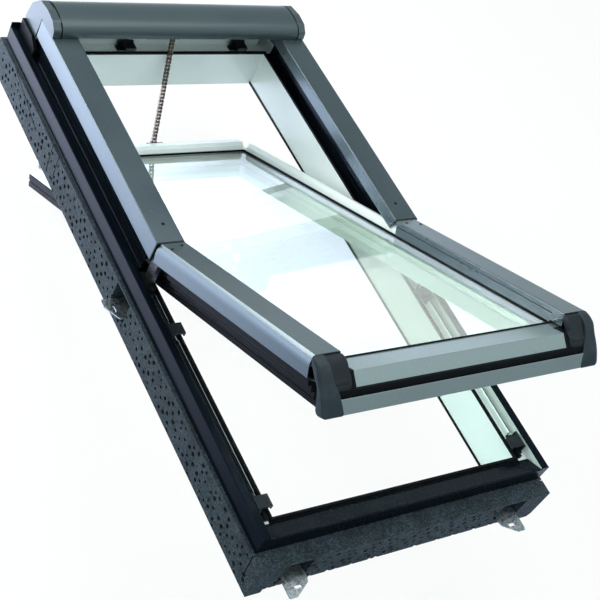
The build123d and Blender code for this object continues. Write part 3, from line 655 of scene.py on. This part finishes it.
def pitted(node_name, facing, sign):
    """A block with pits in its outer face, which looks along an axis on the side of sign."""
    solid = nodes[node_name]
    low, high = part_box(node_name)
    plugs = bmesh.new()
    for number, place in enumerate(pits_in_face(low, high, facing, sign)):
        radius = pit_radius * (1 + pit_variation * sin(number * 1.3))
        rod(plugs, place, radius, 2 * pit_depth, sides=pit_sides)
    plug_mesh = bpy.data.meshes.new("plugs")
    bmesh.ops.recalc_face_normals(plugs, faces=plugs.faces)
    plugs.to_mesh(plug_mesh)
    plugs.free()
    plug_object = placed("plugs", plug_mesh)
    copied = placed("copied", solid.data.copy(), solid.matrix_world)
    cut = copied.modifiers.new("pits", "BOOLEAN")
    cut.operation = "DIFFERENCE"
    cut.solver = "EXACT"
    cut.object = plug_object
    evaluated = copied.evaluated_get(bpy.context.evaluated_depsgraph_get())
    drawn = bmesh.new()
    drawn.from_mesh(evaluated.to_mesh())
    drawn.transform(solid.matrix_world)
    bpy.data.objects.remove(copied)
    bpy.data.objects.remove(plug_object)
    made = piece(f"pitted_{node_name}", drawn, foam_finish, stands_for=(node_name,))
    print(made.name, "faces:", len(made.data.polygons))


facing_x, facing_y = 0, 1
pitted("insulation_stile_left", facing_x, -1)
pitted("insulation_stile_right", facing_x, 1)
pitted("insulation_head", facing_y, 1)
pitted("insulation_sill", facing_y, -1)

# %% [markdown]
# ## The chain
#
# The opener is a roller chain: pairs of waisted plates, narrow and wide in turn, on pins that
# carry rollers. An array along a curve could make it, but the taut chain is straight, so each
# link is drawn in its place on the line from the drive's mouth to the hook on the sash. The
# chain goes with both bodies, so it rides on neither.

# %% A link plate
chain_pitch = 0.009525
plate_radius = 0.0043
plate_waist = 0.0030
plate_gauge = 0.0013
plate_end_steps = 4
plate_end_step_degrees = 27


def waisted_plate():
    """Outline of a link plate: two round ends with a waist between them."""
    points = []
    for end in (1, -1):
        for step in range(-plate_end_steps, plate_end_steps + 1):
            angle = radians(step * plate_end_step_degrees) + (0 if end > 0 else pi)
            points.append((end * chain_pitch / 2 + plate_radius * cos(angle),
                           plate_radius * sin(angle)))
        points.append((0, end * plate_waist))
    return points


print("points round a plate:", len(waisted_plate()))

# %% Roller chain
chain_x = 0.028
chain_mouth = Vector((chain_x, 0.638, 0.130))
chain_hook = swing @ Vector((chain_x, 0.6115, 0.179))
inner_gap = 0.0036
outer_gap = 0.0051
pin_radius = 0.00165
pin_length = 2 * outer_gap + 2 * plate_gauge
roller_radius = 0.0032
roller_play = 0.0012
roller_length = 2 * inner_gap - roller_play

crosswise = Vector((1, 0, 0))
to_hook = (chain_hook - chain_mouth).normalized()
link_axes = Matrix((to_hook, crosswise.cross(to_hook), crosswise)).transposed().to_4x4()
chain_length = (chain_hook - chain_mouth).length
link_count = int(chain_length / chain_pitch)
links = bmesh.new()
for number in range(link_count):
    middle = chain_hook - to_hook * chain_pitch * (number + 0.5)
    gap = outer_gap if number % 2 else inner_gap
    for hand in (-1, 1):
        plate = Matrix.Translation(middle + crosswise * hand * gap) @ link_axes
        prism(links, waisted_plate(), plate, plate_gauge)
    pin = Matrix.Translation(middle - to_hook * chain_pitch / 2) @ link_axes
    rod(links, pin, pin_radius, pin_length, sides=8)
    rod(links, pin, roller_radius, roller_length)
chain = piece("roller_chain", links, chain_finish, body=None,
              stands_for=("opening_chain",))
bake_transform(chain)
print("links:", link_count, "length:", round(chain_length, 4))

# %% [markdown]
# ## The bottom rail's strip and groove
#
# The lower strip of the bottom rail runs on behind the inner lobe of each end cap, and the
# black seal fills the groove above it. Both are drawn as one section each and run across the
# sash, 20 to 30 mm further at each end than the solids, so that no gap shows at the caps.

# %% Sections across the window


def across(drawn, section, x_from, x_to):
    """Runs a closed section, given as Y and Z, across the window along X."""
    run(drawn, [[drawn.verts.new((x, y, z)) for y, z in section] for x in (x_from, x_to)])


def rounded(corners, radius, steps=5):
    """An outline whose corners are rounded."""
    points = []
    count = len(corners)
    for number in range(count):
        before = Vector(corners[number - 1])
        here = Vector(corners[number])
        after = Vector(corners[(number + 1) % count])
        back = (before - here).normalized() * min(radius, (before - here).length * 0.45)
        ahead = (after - here).normalized() * min(radius, (after - here).length * 0.45)
        for step in range(steps + 1):
            t = step / steps
            points.append(tuple(here + back * (1 - t) ** 2 + ahead * t ** 2))
    return points


print("points round a square:", len(rounded([(0, 0), (1, 0), (1, 1), (0, 1)], 0.1)))

# %% Strip and groove
rail_end = -0.654
strip_reach = 0.3247
strip_rounding = 0.0009
strip_section = [(rail_end - 0.0125, 0.1250), (rail_end - 0.0140, 0.1250),
                 (rail_end - 0.0205, 0.0965), (rail_end - 0.0003, 0.0955),
                 (rail_end - 0.0003, 0.0975), (rail_end - 0.0180, 0.0985)]
groove_rounding = 0.0012
groove_section = [(rail_end - 0.0003, 0.1375), (rail_end - 0.0080, 0.1375),
                  (rail_end - 0.0100, 0.1225), (rail_end - 0.0100, 0.1010),
                  (rail_end - 0.0003, 0.1010)]

strip = bmesh.new()
across(strip, rounded(strip_section, strip_rounding), -strip_reach, strip_reach)
# The strip takes the lighter rail lacquer with the painted reflection.
piece("lower_strip_run", strip, painted_sheen_rail_finish, "sash", ("lower_strip",))

groove = bmesh.new()
across(groove, rounded(groove_section, groove_rounding), -strip_reach, strip_reach)
piece("groove_seal_run", groove, rubber_finish, "sash", ("rail_groove_seal",))
print("strip and groove reach", strip_reach)

# %% [markdown]
# ## End caps
#
# Each lower corner of the sash has a moulded cap with two lobes and a seam between them. The
# outer lobe hangs down past the rail and widens towards its foot, and the inner one is
# shorter. A cap could be sculpted by hand. Here a lobe is one bent line, the nose, repeated
# across the cap, and near the lobe's sides the line shrinks towards its hub. That rounds the
# sides as the mould does, and keeps every size in one short list.

# %% Lines of the end caps
cover_outer = 0.346
cap_start = -0.6173
cap_inner = 0.273
cap_back = 0.3245
seam_line = [(0.192, 0.318), (0.150, 0.313), (0.132, 0.306), (0.097, 0.298)]
outer_nose = [(cap_start, 0.1925), (cap_start - 0.013, 0.1878), (cap_start - 0.028, 0.1760),
              (cap_start - 0.042, 0.1480), (-0.6690, 0.1250), (-0.6745, 0.1050),
              (-0.6755, 0.0968), (-0.6700, 0.0950), (-0.6560, 0.0950), (-0.6550, 0.1200),
              (-0.6500, 0.1470), (cap_start, 0.1480)]
inner_nose = [(cap_start, 0.1900), (cap_start - 0.008, 0.1880), (cap_start - 0.020, 0.1780),
              (cap_start - 0.032, 0.1590), (-0.6580, 0.1430), (-0.6605, 0.1330),
              (-0.6600, 0.1285), (-0.6560, 0.1285), (-0.6555, 0.1500), (-0.6415, 0.1610),
              (cap_start, 0.1610)]
outer_hub = (cap_start - 0.022, 0.1560)
inner_hub = (cap_start - 0.020, 0.1640)
outer_roundings = (0.004, 0.010)
inner_roundings = (0.013, 0.002)


def bent_line(points, steps=9):
    """A smooth line through a few points."""
    line = []
    ends = [points[0]] + list(points) + [points[-1]]
    for number in range(1, len(ends) - 2):
        p0, p1, p2, p3 = (Vector(p) for p in ends[number - 1:number + 3])
        for step in range(steps):
            t = step / steps
            line.append(0.5 * ((2 * p1) + (p2 - p0) * t + (2 * p0 - 5 * p1 + 4 * p2 - p3) * t ** 2
                               + (3 * p1 - p0 - 3 * p2 + p3) * t ** 3))
    line.append(Vector(points[-1]))
    return line


def seam_place(z):
    """How far out the seam between the lobes lies: it runs inwards towards the foot."""
    for (high, out_high), (low, out_low) in zip(seam_line, seam_line[1:]):
        if z >= low:
            share = min((z - low) / (high - low), 1.0)
            return out_low + (out_high - out_low) * share
    return seam_line[-1][1]


print("points in an outer nose:", len(bent_line(outer_nose)))

# %% [markdown]
# ## Both lobes of both caps
#
# A lobe's sides follow a quarter circle: full inset at the side itself, and none one radius
# further in. The outer lobe starts at the slanting seam, so its start is found point by
# point. The left cap is the right one mirrored.

# %% End caps
lobe_stations = 28
most_inset = 0.9
cap_sharp_degrees = 40


def side_inset(distance, radius):
    """How far a rounded side draws in at a distance from it."""
    near = min(distance / radius, 1.0)
    return radius * (1 - (1 - (1 - near) ** 2) ** 0.5)


def lobe(drawn, nose, hub, x_from, x_to, rounding_from, rounding_to):
    """A lobe across X, from x_from or from the seam: its nose draws in near both sides."""
    rings = []
    line = bent_line(nose)
    middle = Vector(hub)
    for number in range(lobe_stations + 1):
        share = 0.5 - 0.5 * cos(pi * number / lobe_stations)
        ring = []
        for point in line + [middle]:
            start = seam_place(point.y) if x_from is None else x_from
            x = start + (x_to - start) * share
            inset = max(side_inset(x - start, rounding_from), side_inset(x_to - x, rounding_to))
            toward = middle - point
            if toward.length > 0:
                point = point + toward.normalized() * min(inset, toward.length * most_inset)
            ring.append(drawn.verts.new((x, point.x, point.y)))
        rings.append(ring)
    walls(drawn, rings)
    drawn.faces.new(rings[0])
    drawn.faces.new(rings[-1][::-1])


def soften(made, sharp_degrees):
    """Shades an object smooth, but for edges that turn by more than an angle."""
    made.data.shade_smooth()
    made.modifiers.new("edges", "EDGE_SPLIT").split_angle = radians(sharp_degrees)


# The outer lobe takes the lighter cap plastic, a painted highlight, and the inner lobe the plain black.
lobes = (("outer", highlit_cap_finish, (outer_nose, outer_hub, None, cover_outer, *outer_roundings)),
         ("inner", black_finish, (inner_nose, inner_hub, cap_inner, cap_back, *inner_roundings)))
for label in ("left", "right"):
    for part, finish, form in lobes:
        drawn = bmesh.new()
        lobe(drawn, *form)
        if label == "left":
            drawn.transform(Matrix.Scale(-1, 4, Vector((1, 0, 0))))
        replaced = (f"end_cap_{label}",) if part == "outer" else ()
        made = piece(f"cap_{part}_lobe_{label}", drawn, finish, "sash", replaced)
        soften(made, cap_sharp_degrees)
        print(made.name, "faces:", len(made.data.polygons))

# %% [markdown]
# ## Collars at the caps
#
# A black rubber collar fills the joint between a cap and the rail's cladding. It could be cut
# from the cap's own shape, but it follows the cladding, so one section run a short way across
# fits better. Later pieces are made in the same way on both sides, so the helper comes here.

# %% Collars
collar_inner = 0.2640
collar_outer = 0.2990
collar_section = [(-0.6100, 0.1612), (-0.6400, 0.1640), (-0.6567, 0.1372), (-0.6555, 0.1316),
                  (-0.6480, 0.1316), (-0.6100, 0.1590)]


def both_sides(section, inner, outer):
    """A mesh of a section run across from inner to outer, on the left and on the right."""
    drawn = bmesh.new()
    for sign in (-1, 1):
        across(drawn, section, *sorted((sign * inner, sign * outer)))
    return drawn


collars = both_sides(collar_section, collar_inner, collar_outer)
piece("cap_collars", collars, rubber_finish, "sash")
print("collars from", collar_inner, "to", collar_outer)

# %% [markdown]
# ## The hood
#
# The hood is rolled sheet, so its curve is smooth, where the solid has a few flats with small
# bends. Smooth shading alone would leave the flats in the outline, so a smooth line is drawn
# near the same places. Black seams close the sheet against its moulded ends, and a black
# skirt closes the space under each end, above the frame.

# %% Hood
hood_reach = 0.3245
hood_gauge = 0.002
hood_sharp_degrees = 35
hood_points = [(0.5530, 0.1940), (0.5560, 0.2100), (0.5720, 0.2235), (0.6060, 0.2286),
               (0.6400, 0.2250), (0.6650, 0.2080), (0.6800, 0.1840), (0.6870, 0.1600),
               (0.6890, 0.1365)]


def shell(line, gauge):
    """A closed section of a bent sheet: its outer line and the same line set in by its gauge."""
    inner = []
    for number, point in enumerate(line):
        ahead = line[min(number + 1, len(line) - 1)] - line[max(number - 1, 0)]
        normal = Vector((ahead.y, -ahead.x)).normalized()
        inner.append(point + normal * gauge)
    return [tuple(point) for point in line + inner[::-1]]


hood_curve = bent_line(hood_points)
hood = bmesh.new()
across(hood, shell(hood_curve, hood_gauge), -hood_reach, hood_reach)
made = piece("hood_run", hood, hood_finish, "frame", ("hood_sheet",))
soften(made, hood_sharp_degrees)
print("hood points:", len(hood_curve))

# %% Seams and skirts of the hood
hood_middle = Vector((0.620, 0.170))
seam_rise = 0.0004
seam_gauge = 0.003
seam_inner = 0.3235
seam_outer = 0.3265
skirt_inner = 0.3440
skirt_outer = 0.3530
skirt_section = [(0.6000, 0.0980), (0.6000, 0.1180), (0.6300, 0.1365), (0.6885, 0.1365),
                 (0.6885, 0.0980)]

raised = [point + (point - hood_middle).normalized() * seam_rise for point in hood_curve]
seams = both_sides(shell(raised, seam_gauge), seam_inner, seam_outer)
soften(piece("hood_seams", seams, rubber_finish, "frame"), hood_sharp_degrees)

skirts = both_sides(skirt_section, skirt_inner, skirt_outer)
piece("hood_skirts", skirts, rubber_finish, "frame")
print("seams at", seam_inner, "skirts at", skirt_inner)

# %% [markdown]
# ## Corner fillers under the covers
#
# Where a lower cover meets its end cap, a small folded piece closes the space between the
# glazing bead and the cap, above the flat part of the rail's cladding. Only its outside
# shows, so it is a short solid run.

# %% Corner fillers
filler_inner = 0.2806
filler_outer = 0.2980
filler_section = [(-0.5852, 0.1640), (-0.5852, 0.1850), (-0.6168, 0.1850), (-0.6168, 0.1645)]

fillers = both_sides(filler_section, filler_inner, filler_outer)
piece("corner_fillers", fillers, cover_finish, "sash")
print("fillers from", filler_inner, "to", filler_outer)

# %% [markdown]
# ## Strips on the rebate
#
# The low strips beside the catches are two-coloured profiles: lacquered outside and on top,
# and white plastic towards the opening. The strips could be split into two pieces, but the
# direction of each face already says which finish it has. A black plug closes the corner
# between the lower strips and the sill.

# %% Two-coloured strips
least_lean = 0.0001
plug_inner = 0.3270
plug_outer = 0.3350
plug_section = [(-0.6520, 0.0700), (-0.6520, 0.0845), (-0.6280, 0.0845), (-0.6280, 0.0700)]

strips = nodes["rebate_strips"].data
strips.materials.append(plastic_finish)
strip_place = nodes["rebate_strips"].matrix_world
inward = 0
for face in strips.polygons:
    middle = strip_place @ face.center
    normal = strip_place.to_3x3() @ face.normal
    if normal.x * middle.x < -least_lean:
        face.material_index = 1
        inward += 1
print("faces towards the opening:", inward)

plugs = both_sides(plug_section, plug_inner, plug_outer)
piece("rebate_plugs", plugs, rubber_finish, "frame")

# %% [markdown]
# ## Screws of the covers
#
# The covers are held by small black screws. The solids are plain discs. A bump could fake the
# heads, but they catch the light at their rims, so each is a real head with a rounded rim and
# a sunk socket, drawn as rings about its middle.

# %% Cover screws
cover_top = 0.193
head_radius = 0.0036
head_height = 0.0009
head_sides = 18
head_profile = [(head_radius, 0), (head_radius * 0.92, head_height * 0.7),
                (head_radius * 0.75, head_height), (head_radius * 0.42, head_height),
                (head_radius * 0.42, head_height * 0.1), (0.0001, head_height * 0.1)]
upper_screws = [(0.3097, -0.008)]
lower_screws = [(0.29848, -0.094), (0.32848, -0.108)]


def screw_head(drawn, middle):
    """A low head: a rim that rises to a ring, and a socket sunk in its middle."""
    walls(drawn, [[drawn.verts.new(middle + Vector((x, y, rise))) for x, y in circle(reach, head_sides)]
                  for reach, rise in head_profile])


for label, places, body, node in (("upper", upper_screws, "frame", "frame_cover_screws"),
                                  ("lower", lower_screws, "sash", "sash_cover_screws")):
    heads = bmesh.new()
    for x, y in places:
        for sign in (-1, 1):
            screw_head(heads, Vector((sign * x, y, cover_top)))
    piece(f"{label}_screw_heads", heads, rubber_finish, body, (node,))
print("screws on the covers:", 2 * len(upper_screws) + 2 * len(lower_screws))

# %% [markdown]
# ## The studio floor
#
# A pale floor lies under the window, just below the lowest point of the open sash. A curved
# backdrop would hide the horizon as well, but the camera looks down, so a plain square that
# is much wider than the window is enough.

# %% Floor
floor_level = -0.27
floor_size = 14.0

floor_mesh = bpy.data.meshes.new("floor")
shape = bmesh.new()
bmesh.ops.create_grid(shape, x_segments=4, y_segments=4, size=floor_size / 2)
shape.to_mesh(floor_mesh)
shape.free()
floor = bpy.data.objects.new("floor", floor_mesh)
floor.location = (0, 0, floor_level)
bpy.context.scene.collection.objects.link(floor)
print("floor at", floor_level)

# %% [markdown]
# ## The floor's finish
#
# Seen directly or through glass, the floor is mostly its own white, so that the picture has a
# white ground, and the rest of it is lit, so that it keeps the window's shadow. In gloss it
# shows a tone that grows from dark at the foot of the slope to bright at its top, and falls
# off to the right, which gives lacquer its long soft gradient.

# %% Floor's finish
dark_end = (0.3, 0.4, 0.6, 1)
bright_end = (4.7, 5.2, 6.6, 1)
right_end = (1.3, 1.5, 1.8, 1)
white = (1, 1, 1, 1)
own_share = 0.85


def greater(tree, first, second):
    """The greater of two values."""
    return add(tree, "Math", {0: first, 1: second}, operation="MAXIMUM").outputs[0]


def seen_directly(tree, path):
    """1 for rays from the camera, straight or through glass, and 0 for all others."""
    return greater(tree, path.outputs["Is Camera Ray"], path.outputs["Is Transmission Ray"])


floor_finish, tree, shader = new_finish("pale_floor")
feed(tree, shader, {"Base Color": (0.8, 0.8, 0.8, 1), "Roughness": 0.9})
where = add(tree, "SeparateXYZ", {"Vector": surface_place(tree)})
up_slope = spread(tree, where.outputs["Y"], -0.5, 1.2)
to_the_right = spread(tree, where.outputs["X"], -0.1, 0.9)
mirrored = blend_tones(tree, up_slope, dark_end, bright_end)
mirrored = blend_tones(tree, to_the_right, mirrored, right_end)
path = add(tree, "LightPath")
in_gloss = path.outputs["Is Glossy Ray"]
own_tone = blend_tones(tree, in_gloss, white, mirrored)
own_light = add(tree, "Emission", {"Color": own_tone, "Strength": 1.0})
seen_share = spread(tree, seen_directly(tree, path), 0, 1, 0.0, own_share)
show_mix(tree, greater(tree, seen_share, in_gloss), shader.outputs["BSDF"],
         own_light.outputs["Emission"])
floor_mesh.materials.append(floor_finish)
floor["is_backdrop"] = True
print("made", floor_finish.name)

# %% [markdown]
# ## The room
#
# The world is a soft grey room. A picture of a real studio could light the window, but a few
# tones in a gradient are enough and need no file. The horizon is brighter up the slope and the
# ceiling brighter down the slope, so that the covers mirror tones near those of the
# photograph. Seen directly the world is plain white.

# %% Room
horizon_low = (0.20, 0.24, 0.30, 1)
horizon_high = (0.95, 1.08, 1.08, 1)
ceiling_high = (0.30, 0.36, 0.39, 1)
ceiling_low = (1.28, 1.46, 1.46, 1)

world = bpy.data.worlds.new("studio")
bpy.context.scene.world = world
world.use_nodes = True
tree = world.node_tree
toward = add(tree, "TexCoord").outputs["Generated"]
parts = add(tree, "SeparateXYZ", {"Vector": toward})
up_slope = spread(tree, parts.outputs["Y"], -0.6, 0.95)
horizon = blend_tones(tree, up_slope, horizon_low, horizon_high)
down_slope = spread(tree, parts.outputs["Y"], 0.35, -0.35)
ceiling = blend_tones(tree, down_slope, ceiling_high, ceiling_low)
overhead = spread(tree, parts.outputs["Z"], 0.1, 0.75)
room = blend_tones(tree, overhead, horizon, ceiling)
seen = seen_directly(tree, add(tree, "LightPath"))
feed(tree, tree.nodes["Background"], {"Color": blend_tones(tree, seen, room, white), "Strength": 1.0})
print("made the world", world.name)

# %% [markdown]
# ## The lamps
#
# One broad lamp stands beyond the upper left corner and a weaker one overhead. The first is
# near the window, so that the left side fades from bright at its top end to dark at its foot,
# as in the photograph.

# %% Lamps


def lamp(name, place, target, size, power):
    """A square soft lamp that faces a point."""
    data = bpy.data.lights.new(name, "AREA")
    data.size = size
    data.energy = power
    made = bpy.data.objects.new(name, data)
    aim = (Vector(place) - Vector(target)).to_track_quat("Z", "Y")
    made.matrix_world = Matrix.Translation(place) @ aim.to_matrix().to_4x4()
    bpy.context.scene.collection.objects.link(made)
    print("lamp", name, "at", place)


lamp("upper_left", place=(-1.5, 1.7, 0.9), target=(-0.2, 0.4, 0.0), size=1.2, power=45)
lamp("overhead", place=(0.3, 0.6, 2.6), target=(0, 0, 0), size=2.2, power=40)
bpy.context.scene.view_settings.view_transform = "Standard"

# %% [markdown]
# ## Closing
#
# The boxes of the solids and of the dressed window are printed, the first at the start and
# the second here.

# %% Finish
dressed_box = [list(corner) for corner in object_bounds()]
print("dressed box:", in_short(dressed_box))
